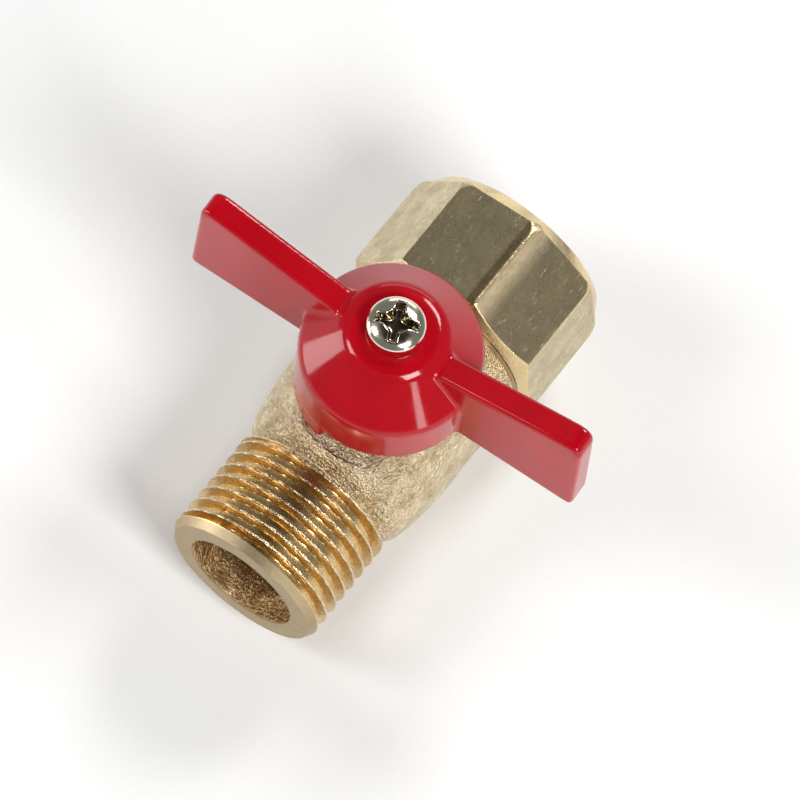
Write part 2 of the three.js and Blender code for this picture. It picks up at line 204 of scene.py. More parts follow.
def surface_of(name, distance, low, high, step, turn=0.0):
    """A closed mesh of the zero level of distance(points), found on a grid of that step.

    Each grid cell that the surface crosses gets one point, which then settles onto the surface.
    The mesh is turned about the stem's axis by turn at the end.
    """
    axes = [np.arange(a - 2 * step, b + 3 * step, step) for a, b in zip(low, high)]
    grid = np.stack(np.meshgrid(*axes, indexing="ij"), -1).astype(np.float32)
    value = distance(grid)
    cells = tuple(n - 1 for n in value.shape)
    total, count = np.zeros(cells + (3,)), np.zeros(cells)

    def shifted(array, offset):
        spans = [slice(o, o + n) for o, n in zip(offset, cells)]
        return array[tuple(spans)]

    for way in range(3):
        others = [i for i in range(3) if i != way]
        for first, second in ((0, 0), (0, 1), (1, 0), (1, 1)):
            start = [0, 0, 0]
            start[others[0]], start[others[1]] = first, second
            end = list(start)
            end[way] = 1
            here, there = shifted(value, start), shifted(value, end)
            crossed = (here < 0) != (there < 0)
            part = np.where(crossed, here / np.where(crossed, here - there, 1), 0)[..., None]
            place = shifted(grid, start) * (1 - part) + shifted(grid, end) * part
            total += place * crossed[..., None]
            count += crossed
    used = count > 0
    number = np.full(cells, -1)
    number[used] = np.arange(used.sum())
    points = total[used] / count[used][:, None]
    quads = []
    for way in range(3):
        one, two = [i for i in range(3) if i != way]
        inside = value < 0
        crossed = np.diff(inside.astype(np.int8), axis=way)
        where = np.argwhere(crossed != 0)
        where = where[(where[:, one] > 0) & (where[:, two] > 0)]
        where = where[(where[:, one] < cells[one]) & (where[:, two] < cells[two])]
        sign = crossed[tuple(where.T)]
        ring = []
        for a, b in ((1, 1), (0, 1), (0, 0), (1, 0)):
            at = where.copy()
            at[:, one] -= a
            at[:, two] -= b
            ring.append(number[tuple(at.T)])
        ring = np.stack(ring, -1)
        outward = (sign > 0) if way == 1 else (sign < 0)
        ring[~outward] = ring[~outward][:, ::-1]
        quads.append(ring)
    quads = np.concatenate(quads)
    small = step * SLOPE_SHARE
    for _ in range(SETTLING_ROUNDS):
        here = distance(points)
        slope = np.stack(
            [(distance(points + d) - distance(points - d)) / (2 * small) for d in np.eye(3) * small],
            -1,
        )
        size = np.maximum((slope**2).sum(-1), LEAST_SLOPE)
        move = -(here / size)[:, None] * slope
        points = points + np.clip(move, -step, step)
    c, s = math.cos(turn), math.sin(turn)
    points = points @ np.array([[c, s, 0], [-s, c, 0], [0, 0, 1]])
    return mesh_of(name, points, quads)


def paint(piece, name, value):
    """Gives every point of the piece a named value, value(points in mm)."""
    places = np.zeros(len(piece.data.vertices) * 3)
    piece.data.vertices.foreach_get("co", places)
    points = places.reshape(-1, 3) / MM - np.array([0, 0, FLOW_AXIS_Z])
    layer = piece.data.attributes.new(name, "FLOAT", "POINT")
    layer.data.foreach_set("value", value(points).astype(np.float32))


def smooth_max(a, b, blend):
    """The larger of two distances, with the edge between them rounded over blend mm."""
    near = np.maximum(blend - np.abs(a - b), 0) / blend
    return np.maximum(a, b) + near * near * blend / 4


def smooth_min(a, b, blend):
    return -smooth_max(-a, -b, blend)


def ramp_up(value, start, width):
    """0 up to start, then rising evenly to 1 over width."""
    return np.clip((value - start) / width, 0, 1)


def about_stem(p):
    """How far points are from the stem's axis, and their level."""
    return np.hypot(p[..., 0], p[..., 1]), p[..., 2]


def cylinder(p, radius, bottom, top, blend=0.1):
    """Distance to an upright cylinder about the stem's axis."""
    away, level = about_stem(p)
    return smooth_max(away - radius, np.maximum(bottom - level, level - top), blend)


def beside_sector(p, start, end):
    """Distance to the sides of a sector about the stem's axis, between two angles in degrees."""
    middle, half = math.radians((start + end) / 2), math.radians((end - start) / 2)
    angle = np.arctan2(p[..., 1], p[..., 0]) - middle
    angle = (angle + math.pi) % (2 * math.pi) - math.pi
    return (np.abs(angle) - half) * np.hypot(p[..., 0], p[..., 1])


def slab(coordinate, half):
    """Distance to a slab about zero, of that half thickness."""
    return np.abs(coordinate) - half


def cut(piece, tools, operation):
    """Applies one boolean per tool to piece, and removes the tools."""
    for tool in tools:
        change = piece.modifiers.new("cut", "BOOLEAN")
        change.operation = operation
        change.solver = "MANIFOLD"
        change.object = tool
        graph = bpy.context.evaluated_depsgraph_get()
        result = bpy.data.meshes.new_from_object(piece.evaluated_get(graph))
        piece.modifiers.clear()
        piece.data = result
        bpy.data.objects.remove(tool)


def roughen(piece, layers, mask=None):
    """Moves points along their normals by noise; layers is a list of (size, depth, seed)."""
    mesh = piece.data
    count = len(mesh.vertices)
    places, normals = np.zeros(count * 3), np.zeros(count * 3)
    mesh.vertices.foreach_get("co", places)
    mesh.vertices.foreach_get("normal", normals)
    places, normals = places.reshape(-1, 3), normals.reshape(-1, 3)
    weight = np.ones(count)
    if mask:
        mesh.attributes[mask].data.foreach_get("value", weight)
    moving = np.flatnonzero(weight > 0)
    amount = np.zeros(count)
    for size, depth, seed in layers:
        scaled = places[moving] / (size * MM) + seed
        amount[moving] += depth * np.array([noise.noise(p) for p in scaled.tolist()])
    places += normals * (amount * weight * MM)[:, None]
    mesh.vertices.foreach_set("co", places.ravel())
    mesh.update()


def shade(piece, material):
    """Gives the piece its material, and keeps edges sharper than SHARP_ANGLE degrees sharp."""
    piece.data.materials.clear()
    piece.data.materials.append(material)
    piece.data.shade_smooth()
    piece.data.set_sharp_from_angle(angle=math.radians(SHARP_ANGLE))


# ---- node tools ----


def new_material(name):
    """A material with a Principled shader, and its node tree."""
    material = bpy.data.materials.new(name)
    material.use_nodes = True
    tree = material.node_tree
    return material, tree, tree.nodes["Principled BSDF"]


def add(tree, kind, inputs=None, **settings):
    """A node; an input is a value, or a socket that is linked to it."""
    made = tree.nodes.new(kind)
    for key, value in settings.items():
        setattr(made, key, value)
    for key, value in (inputs or {}).items():
        socket = made.inputs[key]
        if isinstance(value, bpy.types.NodeSocket):
            tree.links.new(value, socket)
        else:
            socket.default_value = value
    return made


def link(tree, shader, **inputs):
    """Links sockets to the shader's inputs; Base_Color stands for Base Color."""
    for key, value in inputs.items():
        tree.links.new(value, shader.inputs[key.replace("_", " ")])


def noise_of(tree, size, detail=2.0, roughness=0.5, stretch=None):
    """A noise value from 0 to 1 whose features are about size mm, on the piece's own place."""
    place = add(tree, "ShaderNodeTexCoord").outputs["Object"]
    if stretch:
        place = add(tree, "ShaderNodeMapping", {"Vector": place, "Scale": stretch}).outputs[0]
    inputs = {"Vector": place, "Scale": 1 / (size * MM), "Detail": detail, "Roughness": roughness}
    return add(tree, "ShaderNodeTexNoise", inputs).outputs["Fac"]


def grains_of(tree, size):
    """Cell noise with cells of about size mm: the distance from the nearest cell's middle."""
    place = add(tree, "ShaderNodeTexCoord").outputs["Object"]
    inputs = {"Vector": place, "Scale": 1 / (size * MM)}
    return add(tree, "ShaderNodeTexVoronoi", inputs).outputs["Distance"]


def rgba(colour):
    """The four values of a colour, or of a number that stands for a grey."""
    return (*colour, 1) if isinstance(colour, tuple) else (colour, colour, colour, 1)


def ramp(tree, value, stops):
    """A colour ramp with (position, colour) stops; a number stands for a grey."""
    made = add(tree, "ShaderNodeValToRGB", {"Fac": value})
    elements = made.color_ramp.elements
    while len(elements) < len(stops):
        elements.new(0.5)
    for element, (position, colour) in zip(elements, stops):
        element.position = position
        element.color = rgba(colour)
    return made.outputs["Color"]


MIX_COLOUR_INPUTS = (6, 7)  # a mix node has several inputs and outputs of the same name
MIX_COLOUR_OUTPUT = 2


def mix(tree, factor, first, second):
    """The first colour where the factor is 0, and the second where it is 1."""
    made = add(tree, "ShaderNodeMix", {"Factor": factor}, data_type="RGBA")
    for slot, value in zip(MIX_COLOUR_INPUTS, (first, second)):
        if isinstance(value, bpy.types.NodeSocket):
            tree.links.new(value, made.inputs[slot])
        else:
            made.inputs[slot].default_value = rgba(value)
    return made.outputs[MIX_COLOUR_OUTPUT]


def math_of(tree, operation, first, second):
    return add(tree, "ShaderNodeMath", {0: first, 1: second}, operation=operation).outputs[0]


def plus(tree, first, second):
    return math_of(tree, "ADD", first, second)


def times(tree, first, second):
    return math_of(tree, "MULTIPLY", first, second)


def bump(tree, height, strength, depth):
    """A bump whose height of 1 stands for depth mm."""
    inputs = {"Height": height, "Strength": strength, "Distance": depth * MM}
    return add(tree, "ShaderNodeBump", inputs).outputs[0]


def painted(tree, name):
    """A named value that the mesh carries."""
    return add(tree, "ShaderNodeAttribute", attribute_name=name).outputs["Fac"]


# ---- materials ----
PALE_BRASS = (0.86, 0.73, 0.50)
DULL_BRASS = (0.64, 0.50, 0.30)
PIT_BROWN = (0.26, 0.18, 0.09)
GOLD = (0.78, 0.58, 0.29)
DEEP_GOLD = (0.63, 0.43, 0.18)
GOLD_BORE = (0.74, 0.52, 0.27)
DARK_GOLD = (0.36, 0.20, 0.07)
FACE_TAN = (0.50, 0.40, 0.25)
DARK_TAN = (0.42, 0.32, 0.19)
OLIVE_BRASS = (0.70, 0.59, 0.38)
DARK_OLIVE = (0.50, 0.42, 0.25)
SCRATCH_GOLD = (0.86, 0.68, 0.44)
EDGE_GOLD = (0.90, 0.68, 0.38)
# painted shade: the colour that stands in for the shade inside the screw's cross recess
PAINTED_RECESS_SHADE = (0.34, 0.29, 0.20)
ENAMEL_RED = (0.455, 0.003, 0.011)
ENAMEL_DEEP = (0.40, 0.002, 0.008)
COLLAR_GOLD = (0.84, 0.68, 0.42)
COLLAR_TAN = (0.72, 0.55, 0.30)
PLATING_PALE = (0.90, 0.85, 0.72)
PLATING_DULL = (0.80, 0.74, 0.60)
STEM_GOLD = (0.85, 0.66, 0.36)
STEM_TAN = (0.68, 0.48, 0.22)
CHROME_PALE = (0.80, 0.80, 0.80)
CHROME_DULL = (0.70, 0.70, 0.71)
PLASTIC_WHITE = (0.90, 0.89, 0.85)
PLASTIC_CREAM = (0.83, 0.81, 0.76)
RUBBER_BLACK = (0.028, 0.028, 0.028)
RUBBER_GREY = (0.045, 0.043, 0.042)
PAPER_WHITE = (0.93, 0.93, 0.93)
PAPER_SHADE = (0.90, 0.90, 0.90)


def cast_brass():
    """Sand-cast brass, with a cut thread and a faced end where the mesh says so."""
    material, tree, shader = new_material("cast_brass")
    cast, crest = painted(tree, "cast"), painted(tree, "crest")
    thread, bore = painted(tree, "thread"), painted(tree, "bore")
    grit = noise_of(tree, 0.40, 4.0, 0.70)
    cells = grains_of(tree, 0.45)
    fine = noise_of(tree, 0.15, 3.0, 0.65)
    broad = noise_of(tree, 2.4, 3.0)
    tool_marks = noise_of(tree, 0.5, 3.0, 0.6)
    skin = mix(tree, ramp(tree, broad, [(0.35, 0.0), (0.68, 1.0)]), PALE_BRASS, DULL_BRASS)
    bore_skin = mix(tree, ramp(tree, broad, [(0.3, 0.0), (0.7, 1.0)]), GOLD_BORE, DARK_GOLD)
    skin = mix(tree, bore, skin, bore_skin)
    pits = ramp(tree, grit, [(0.34, 1.0), (0.42, 0.0)])
    skin = mix(tree, pits, skin, mix(tree, bore, PIT_BROWN, DARK_GOLD))
    gold = mix(tree, ramp(tree, tool_marks, [(0.35, 0.0), (0.65, 1.0)]), GOLD, DEEP_GOLD)
    face = mix(tree, noise_of(tree, 1.2, 4.0), FACE_TAN, DARK_TAN)
    crest_skin = mix(tree, ramp(tree, grit, [(0.40, 0.0), (0.55, 1.0)]), DULL_BRASS, PALE_BRASS)
    cut_colour = mix(tree, thread, face, mix(tree, crest, gold, crest_skin))
    colour = mix(tree, cast, cut_colour, skin)
    cast_rough = ramp(tree, fine, [(0.3, 0.12), (0.7, 0.25)])
    face_rough = ramp(tree, fine, [(0.3, 0.40), (0.7, 0.55)])
    thread_rough = ramp(tree, fine, [(0.3, 0.22), (0.7, 0.32)])
    cut_rough = mix(tree, thread, face_rough, thread_rough)
    height = plus(tree, plus(tree, cells, grit), times(tree, fine, 0.45))
    rough_skin = math_of(tree, "MAXIMUM", cast, times(tree, crest, 0.35))
    height = times(tree, height, mix(tree, rough_skin, 0.03, 1.0))
    shader.inputs["Metallic"].default_value = 1.0
    link(tree, shader, Base_Color=colour, Roughness=mix(tree, cast, cut_rough, cast_rough))
    link(tree, shader, Normal=bump(tree, height, 1.0, 0.26))
    return material


def turned_brass():
    """Milled flats with stains and fine scratches, and the lighter collar, chamfers and socket."""
    material, tree, shader = new_material("turned_brass")
    flat, edge = painted(tree, "flat"), painted(tree, "edge")
    burnt, rubbed = painted(tree, "burnt"), painted(tree, "rubbed")
    stain = noise_of(tree, 2.6, 5.0, 0.62)
    mottle = noise_of(tree, 0.55, 4.0, 0.65)
    hatch = noise_of(tree, 0.34, 4.0, 0.75, stretch=(0.25, 1.0, 1.0))
    fine = noise_of(tree, 0.12, 2.0, 0.6)
    stained = plus(tree, times(tree, stain, 0.6), times(tree, mottle, 0.4))
    flat_colour = mix(tree, ramp(tree, stained, [(0.38, 0.0), (0.60, 1.0)]), OLIVE_BRASS, DARK_OLIVE)
    scratches = ramp(tree, hatch, [(0.60, 0.0), (0.70, 1.0)])
    flat_colour = mix(tree, times(tree, scratches, 0.55), flat_colour, SCRATCH_GOLD)
    flat_colour = mix(tree, times(tree, burnt, 0.75), flat_colour, PIT_BROWN)
    worn_away = times(tree, rubbed, ramp(tree, hatch, [(0.36, 0.0), (0.60, 1.0)]))
    flat_colour = mix(tree, worn_away, flat_colour, SCRATCH_GOLD)
    turned_colour = mix(tree, noise_of(tree, 1.5, 4.0), COLLAR_GOLD, COLLAR_TAN)
    colour = mix(tree, flat, turned_colour, flat_colour)
    patches = ramp(tree, noise_of(tree, 0.8, 3.0), [(0.35, 0.2), (0.6, 1.0)])
    colour = mix(tree, times(tree, edge, patches), colour, EDGE_GOLD)
    roughness = mix(tree, scratches, ramp(tree, stained, [(0.35, 0.22), (0.65, 0.36)]), 0.5)
    roughness = mix(tree, rubbed, roughness, 0.46)
    height = plus(tree, times(tree, hatch, 0.7), times(tree, fine, 0.5))
    height = plus(tree, height, times(tree, mottle, 0.8))
    shader.inputs["Metallic"].default_value = 1.0
    link(tree, shader, Base_Color=colour, Roughness=roughness, Normal=bump(tree, height, 0.6, 0.045))
    return material


def red_enamel():
    """Glossy enamel with a faint orange peel."""
    material, tree, shader = new_material("red_enamel")
    broad = noise_of(tree, 5.0, 3.0)
    colour = mix(tree, ramp(tree, broad, [(0.3, 0.0), (0.7, 1.0)]), ENAMEL_RED, ENAMEL_DEEP)
    roughness = ramp(tree, noise_of(tree, 1.1, 4.0), [(0.35, 0.07), (0.7, 0.14)])
    peel = noise_of(tree, 0.9, 2.0)
    shader.inputs["Specular IOR Level"].default_value = 0.38
    link(tree, shader, Base_Color=colour, Roughness=roughness, Normal=bump(tree, peel, 0.12, 0.02))
    return material


def plain_metal(name, light, dark, rough, peak=0.3, size=0.5):
    """A plated or turned metal whose colour and gloss wander; painted shade makes it darker where the
    mesh marks a recess.
    """
    material, tree, shader = new_material(name)
    stain = noise_of(tree, size * 3, 4.0, 0.6)
    colour = mix(tree, ramp(tree, stain, [(0.35, 0.0), (0.7, 1.0)]), light, dark)
    # painted shade: darker metal inside a recess, where shade falls
    colour = mix(tree, painted(tree, "painted_recess_shade"), colour, PAINTED_RECESS_SHADE)
    roughness = ramp(tree, noise_of(tree, size, 3.0), [(0.35, rough), (0.7, rough + 0.1)])
    shader.inputs["Metallic"].default_value = 1.0
    link(tree, shader, Base_Color=colour, Roughness=roughness, Normal=bump(tree, stain, peak, 0.02))
    return material


def soft_plastic(name, light, dark, rough):
    """Sealing plastic or rubber, slightly uneven."""
    material, tree, shader = new_material(name)
    broad = noise_of(tree, 1.6, 4.0)
    colour = mix(tree, broad, light, dark)
    roughness = ramp(tree, noise_of(tree, 0.4, 3.0), [(0.3, rough), (0.7, rough + 0.15)])
    link(tree, shader, Base_Color=colour, Roughness=roughness)
    link(tree, shader, Normal=bump(tree, noise_of(tree, 0.2, 3.0), 0.3, 0.02))
    return material


def floor_paper():
    """Plain white paper with a hardly visible mottle."""
    material, tree, shader = new_material("floor_paper")
    mottle = noise_of(tree, 0.8, 4.0)
    colour = mix(tree, mottle, PAPER_WHITE, PAPER_SHADE)
    shader.inputs["Roughness"].default_value = 0.9
    shader.inputs["Specular IOR Level"].default_value = 0.1
    link(tree, shader, Base_Color=colour)
    return material


# ---- valve body ----
CREST_SHARE = 0.12
ROOT_SHARE = 0.46
THREAD_LEAD = 0.3
THREAD_FADE = 0.7
THREAD_ROWS = 28  # rows of points in each pitch of the male thread
CREST_WIDTH = 0.2  # share of the groove's depth that counts as the crest
CAST_START = THREAD_END - 0.2
CAST_BLEND = 0.3
SEAM_BAND = 0.6  # turned strip beside the seam
CAST_BORE_END = -15.0
GOLD_BORE_END = -8.0
CAST_LAYERS = [(3.5, 0.12, 3.0), (1.3, 0.07, 7.0), (0.7, 0.08, 11.0)]
CLEARED_LAYERS = [(0.7, 0.03, 11.0)]  # flatter where the handle's tab swings past
STOP_BOX = ((-3, -10, 6), (3, 10, 15))  # holds either stop


def groove(along, angle):
    """Depth of the thread's groove from 0 at a crest to 1 at a root, for a right-hand thread."""
    phase = (along / PITCH - angle / (2 * math.pi)) % 1.0
    from_root = np.abs(phase - 0.5) * 2
    flank = np.clip(1 - (from_root - ROOT_SHARE) / (1 - ROOT_SHARE - CREST_SHARE), 0, 1)
    return flank * flank * (3 - 2 * flank)


def male_thread_shape(along, angle, radius):
    """Cuts the thread's groove into the male end, running in and out at its ends."""
    fade = ramp_up(along, THREAD_START, THREAD_LEAD) * ramp_up(-along, -THREAD_END, THREAD_FADE)
    outside = radius > THREAD_MINOR - 0.2
    depth = (THREAD_MAJOR - THREAD_MINOR) * groove(along, angle)
    return radius - depth * fade * outside


def body_values(along, angle, radius):
    """Where the body is cast, threaded, on a crest or in the bore, each from 0 to 1."""
    outside = radius > BORE_MOUTH["radius"]
    skin = outside * ramp_up(along, CAST_START, CAST_BLEND) * (along < SEAM_X - SEAM_BAND)
    cast_bore = ~outside * (along < CAST_BORE_END) * (along > -HALF_LENGTH + 0.05)
    thread = outside * (along > THREAD_START - 0.02) * (along < THREAD_END)
    crest = np.clip(1 - groove(along, angle) / CREST_WIDTH, 0, 1) * thread
    bore = ~outside * (along < GOLD_BORE_END)
    return {"cast": skin + cast_bore, "thread": thread, "crest": crest, "bore": bore}


def stop_lug(start):
    """One cast stop, a sector of a ring beside the stem."""

    def distance(p):
        away, level = about_stem(p)
        ring = smooth_max(STOP["inner"] - away, away - STOP["outer"], 0.3)
        sides = beside_sector(p, start, start + STOP["width"])
        ends = np.maximum(STOP["bottom"] - level, level - STOP["top"])
        return smooth_max(smooth_max(ring, sides, 0.4), ends, 0.4)

    return surface_of("stop", distance, *STOP_BOX, 0.2)


def round_tool(name, distance, reach, bottom, top, step):
    """A mesh of something about the stem's axis, to cut from the body or to add to it."""
    return surface_of(name, distance, (-reach, -reach, bottom), (reach, reach, top), step)


def spot_face():
    """What is milled off the top of the barrel, for the handle's tab to swing over."""
    reach, level, top = SPOT_FACE["radius"], SPOT_FACE["level"], SPOT_FACE["top"]
    return round_tool("spot", lambda p: cylinder(p, reach, level, top), reach + 0.1, level, top, 0.3)


def stem_boss():
    reach, low, top = BOSS["radius"], CHAMBER_RADIUS, BOSS["top"]
    return round_tool("boss", lambda p: cylinder(p, reach, low, top, 0.4), reach + 0.1, low, top, 0.25)


def stem_bore():
    """The bore for the stem, wider below for its collar and washer."""
    foot, top = COLLAR_BORE["foot"], BOSS["top"] + 2

    def distance(p):
        wide = cylinder(p, COLLAR_BORE["radius"], foot, COLLAR_BORE["roof"])
        return np.minimum(wide, cylinder(p, STEM_BORE_RADIUS, foot, top))

    return round_tool("stem_bore", distance, COLLAR_BORE["radius"] + 0.15, foot, top, 0.2)


def valve_body():
    shoulder = arc(
        (SHOULDER["x"], SHOULDER["radius"]), SHOULDER["round"], SHOULDER["neck_angle"], 0, 16
    )
    chamfered = [[-HALF_LENGTH, FACE_RADIUS], [THREAD_START, THREAD_MAJOR]]
    threaded = [[THREAD_START, THREAD_MAJOR], [THREAD_END + 0.2, THREAD_MAJOR]]
    neck = [[NECK["start"], NECK["radius"]], [NECK["end"], NECK["radius"]]]
    necked = [threaded[-1], *neck, shoulder[0]]
    seam = SEAM_X - SEAM_GAP / 2
    barrel = [
        shoulder[-1],
        *BULGE,
        [seam - SEAM_BEVEL, BARREL_RADIUS],
        [seam, BARREL_RADIUS - SEAM_BEVEL],
    ]
    inside = [
        barrel[-1],
        [seam, BODY_MOUTH["radius"]],
        [BODY_MOUTH["floor"], BODY_MOUTH["radius"]],
        [BODY_MOUTH["floor"], SPIGOT["radius"] + SEAM_GAP],
        [BODY_MOUTH["seat_edge"], SPIGOT["radius"] + SEAM_GAP],
        [BODY_MOUTH["seat_edge"], CHAMBER_RADIUS],
        [-SEAT["lip"], CHAMBER_RADIUS],
        [-SEAT["lip"], SEAT_POCKET_RADIUS],
        [-SEAT["back"] - SEAM_GAP, SEAT_POCKET_RADIUS],
        [-SEAT["back"] - SEAM_GAP, PORT_RADIUS],
        [PORT_INLET_X + PORT_TAPER, PORT_RADIUS],
        [PORT_INLET_X, BORE_RADIUS],
    ]
    bore = [
        inside[-1],
        [-HALF_LENGTH + BORE_MOUTH["depth"], BORE_RADIUS],
        [-HALF_LENGTH, BORE_MOUTH["radius"]],
    ]
    face = [bore[-1], chamfered[0]]
    stretches = [
        (chamfered, 0.2),
        (threaded, PITCH / THREAD_ROWS),
        (necked, 0.15),
        (shoulder, 0.25),
        (barrel, 0.27),
        (inside, HIDDEN_STEP),
        (bore, 0.28),
        (face, 0.3),
    ]
    body = turned("body_casting", stretches, TURNED_COLUMNS, male_thread_shape, values=body_values)
    roughen(body, CAST_LAYERS, mask="cast")
    spot, boss, bored = spot_face(), stem_boss(), stem_bore()
    lugs = [stop_lug(start) for start in STOP_ANGLES]
    for tool in (spot, boss, *lugs):
        paint(tool, "cast", lambda p: np.ones(len(p)))
        roughen(tool, CLEARED_LAYERS)
    cut(body, [spot], "DIFFERENCE")
    cut(body, [boss, *lugs], "UNION")
    cut(body, [bored], "DIFFERENCE")
    return body


# ---- end connector ----
EDGE_ROUND = 0.16
EDGE_BAND = 0.16
RIDGE_BAND = 0.10
BACK_BAND = 0.15
BACK_ROUND_START = 23.4
BACK_BEVEL = 0.15
COLLAR_BEVEL = 0.12
CONNECTOR_LAYERS = [(4.0, 0.035, 31.0), (1.4, 0.012, 37.0)]
# one edge of the octagon has a burnt strip on one side and a rubbed one on the other; in degrees
WORN_VERTEX_ANGLE = OCTAGON["vertex_angle"]
BURNT = {"gap": 0.4, "width": 5.5, "fade": 1.2}
RUBBED = {"gap": 0.2, "width": 13.0, "fade": 9.0}


def on_outside(along, radius):
    """Whether a point of the outline is on the connector's collar, flats or back chamfer."""
    return (radius > BARREL_RADIUS - 0.3) * (along > SEAM_X)


def strip_of(beside, strip):
    """1 in a strip and 0 elsewhere; beside is the angle from the edge that it runs along."""
    return np.clip(beside - strip["gap"], 0, 1) * ramp_up(-beside, -strip["width"], strip["fade"])


def octagon_radius(angle):
    """Distance from the flow axis to the octagon's outline."""
    apothem = OCTAGON["radius"] * math.cos(math.pi / 8)
    from_flat = (angle - math.radians(OCTAGON["vertex_angle"])) % (math.pi / 4) - math.pi / 8
    return apothem / np.cos(from_flat)


def connector_shape(along, angle, radius):
    """Eight flats whose front edges are cut by a cone, and whose backs run out into a circle."""
    outside = on_outside(along, radius)
    rounded = smooth_min(radius, octagon_radius(angle), EDGE_ROUND)
    run_out = ramp_up(along, OCTAGON["back"], HALF_LENGTH - OCTAGON["back"])
    lofted = octagon_radius(angle) * (1 - run_out) + BACK_FACE_RADIUS * run_out
    rounded = np.where(along > OCTAGON["back"], np.minimum(rounded, lofted), rounded)
    turned_back = ramp_up(along, BACK_ROUND_START, HALF_LENGTH - BACK_ROUND_START)
    corner = CHAMFER_OUTSIDE - BACK_FACE_RADIUS
    limit = BACK_FACE_RADIUS + corner * np.sqrt(np.maximum(1 - turned_back**2, 0))
    rounded = np.minimum(rounded, limit)
    threaded = (radius < THREAD_MINOR + 0.05) * (along > SOCKET_X) * (along < HALF_LENGTH - 0.3)
    depth = (THREAD_MAJOR - THREAD_MINOR) * (1 - groove(along, angle))
    inner = radius + depth * threaded * ramp_up(along, SOCKET_X + 0.3, 0.5)
    return np.where(outside, rounded, inner)


def connector_values(along, angle, radius):
    """Where the connector is flat, worn along an edge, burnt or rubbed, each from 0 to 1."""
    outside = on_outside(along, radius)
    gap = octagon_radius(angle) - radius
    flat = outside * np.clip(-gap / 0.1, 0, 1) * (along <= OCTAGON["back"] + 0.05)
    vertex = OCTAGON["radius"] - octagon_radius(angle)
    edge = outside * np.clip(1 - np.abs(gap) / EDGE_BAND, 0, 1) * (along < OCTAGON["back"])
    back_edge = outside * np.clip(1 - np.abs(along - OCTAGON["back"]) / BACK_BAND, 0, 1)
    ridge = outside * np.clip(1 - vertex / RIDGE_BAND, 0, 1) * (radius > OCTAGON["radius"])
    beside = np.degrees(angle) - WORN_VERTEX_ANGLE
    burnt, rubbed = flat * strip_of(-beside, BURNT), flat * strip_of(beside, RUBBED)
    edges = np.maximum(np.maximum(edge, ridge * 0.8), back_edge)
    return {"flat": flat, "edge": edges, "burnt": burnt, "rubbed": rubbed}


def end_connector():
    start = SEAM_X + SEAM_GAP / 2
    collar = [[start, BARREL_RADIUS - SEAM_BEVEL], [start + COLLAR_BEVEL, BARREL_RADIUS]]
    front = [collar[-1], [OCTAGON["front"], CHAMFER_OUTSIDE]]
    flats = [front[-1], [BACK_ROUND_START, CHAMFER_OUTSIDE]]
    back = [
        flats[-1],
        [OCTAGON["back"], CHAMFER_OUTSIDE],
        [HALF_LENGTH - BACK_BEVEL, CHAMFER_OUTSIDE],
        [HALF_LENGTH, BACK_FACE_RADIUS],
    ]
    face = [back[-1], [HALF_LENGTH, MOUTH["radius"]]]
    mouth = [face[-1], [HALF_LENGTH - MOUTH["depth"], THREAD_MINOR]]
    threaded = [mouth[-1], [SOCKET_X + THREAD_RELIEF, THREAD_MINOR]]
    inside = [
        threaded[-1],
        [SOCKET_X, THREAD_MINOR - THREAD_RELIEF],
        [SOCKET_X - PORT_TAPER, PORT_RADIUS],
        [SEAT["back"] + SEAM_GAP, PORT_RADIUS],
        [SEAT["back"] + SEAM_GAP, SEAT_POCKET_RADIUS],
        [SPIGOT["start"], SEAT_POCKET_RADIUS],
        [SPIGOT["start"], SPIGOT["radius"]],
        [start, SPIGOT["radius"]],
        collar[0],
    ]
    stretches = [
        (collar, 0.1),
        (front, 0.09),
        (flats, 0.5),
        (back, 0.09),
        (face, 0.3),
        (mouth, 0.3),
        (threaded, PITCH / (THREAD_ROWS / 2)),
        (inside, HIDDEN_STEP),
    ]
    made = turned(
        "connector_nut", stretches, OCTAGON_COLUMNS, connector_shape, values=connector_values
    )
    roughen(made, CONNECTOR_LAYERS)
    return made


# ---- handle ----
CONE_BLEND = 0.5
RIM_ROUND = 1.1
SKIRT_FOOT_ROUND = 0.35
WING_FILLET = 0.55
WING_ROUND = 0.7
WING_CORNER = 2.2
WING_FOOT_ROUND = 0.6
TAB_CORNER = 1.6


def wings(p):
    """Distance to both wings, as one upright plate through the hub."""
    reach, level = np.abs(p[..., 1]), p[..., 2]
    top_line = WING["top_at_20"] + WING["rise"] * (reach - 20)
    tip_line = WING["tip"] - WING_DRAFT["tip"] * (level - RIM_Z)
    top = (level - top_line) / math.hypot(1, WING["rise"])
    outline = smooth_max(top, reach - tip_line, WING_CORNER)
    outline = smooth_max(outline, RIM_Z - level, WING_FOOT_ROUND)
    half = WING["half"] - WING_DRAFT["side"] * (level - RIM_Z - WING_DRAFT["level"])
    return smooth_max(outline, np.abs(p[..., 0]) - half, WING_ROUND)


def hub(p):
    """Distance to the skirt and the cone above it, before they are hollowed."""
    away, level = about_stem(p)
    low = (SKIRT["radius"], SKIRT["top"])
    high = (DISH["rim"] + CONE_TOP["outside"], DISH["rim_z"] - CONE_TOP["below"])
    run, rise = low[0] - high[0], high[1] - low[1]
    cone = ((away - low[0]) * rise + (level - low[1]) * run) / math.hypot(run, rise)
    body = smooth_max(away - SKIRT["radius"], cone, CONE_BLEND)
    body = smooth_max(body, level - DISH["rim_z"], RIM_ROUND)
    return smooth_max(body, RIM_Z - level, SKIRT_FOOT_ROUND)


def tab(p):
    """Distance to the stop tab that hangs from the skirt."""
    away, level = about_stem(p)
    ring = smooth_max(away - SKIRT["radius"], TAB["inner"] - away, 0.4)
    face = smooth_max(beside_sector(p, TAB["start"], TAB["end"]), TAB["bottom"] - level, TAB_CORNER)
    return smooth_max(smooth_max(ring, face, 0.5), level - SKIRT["roof"] - TAB["root"], 0.2)


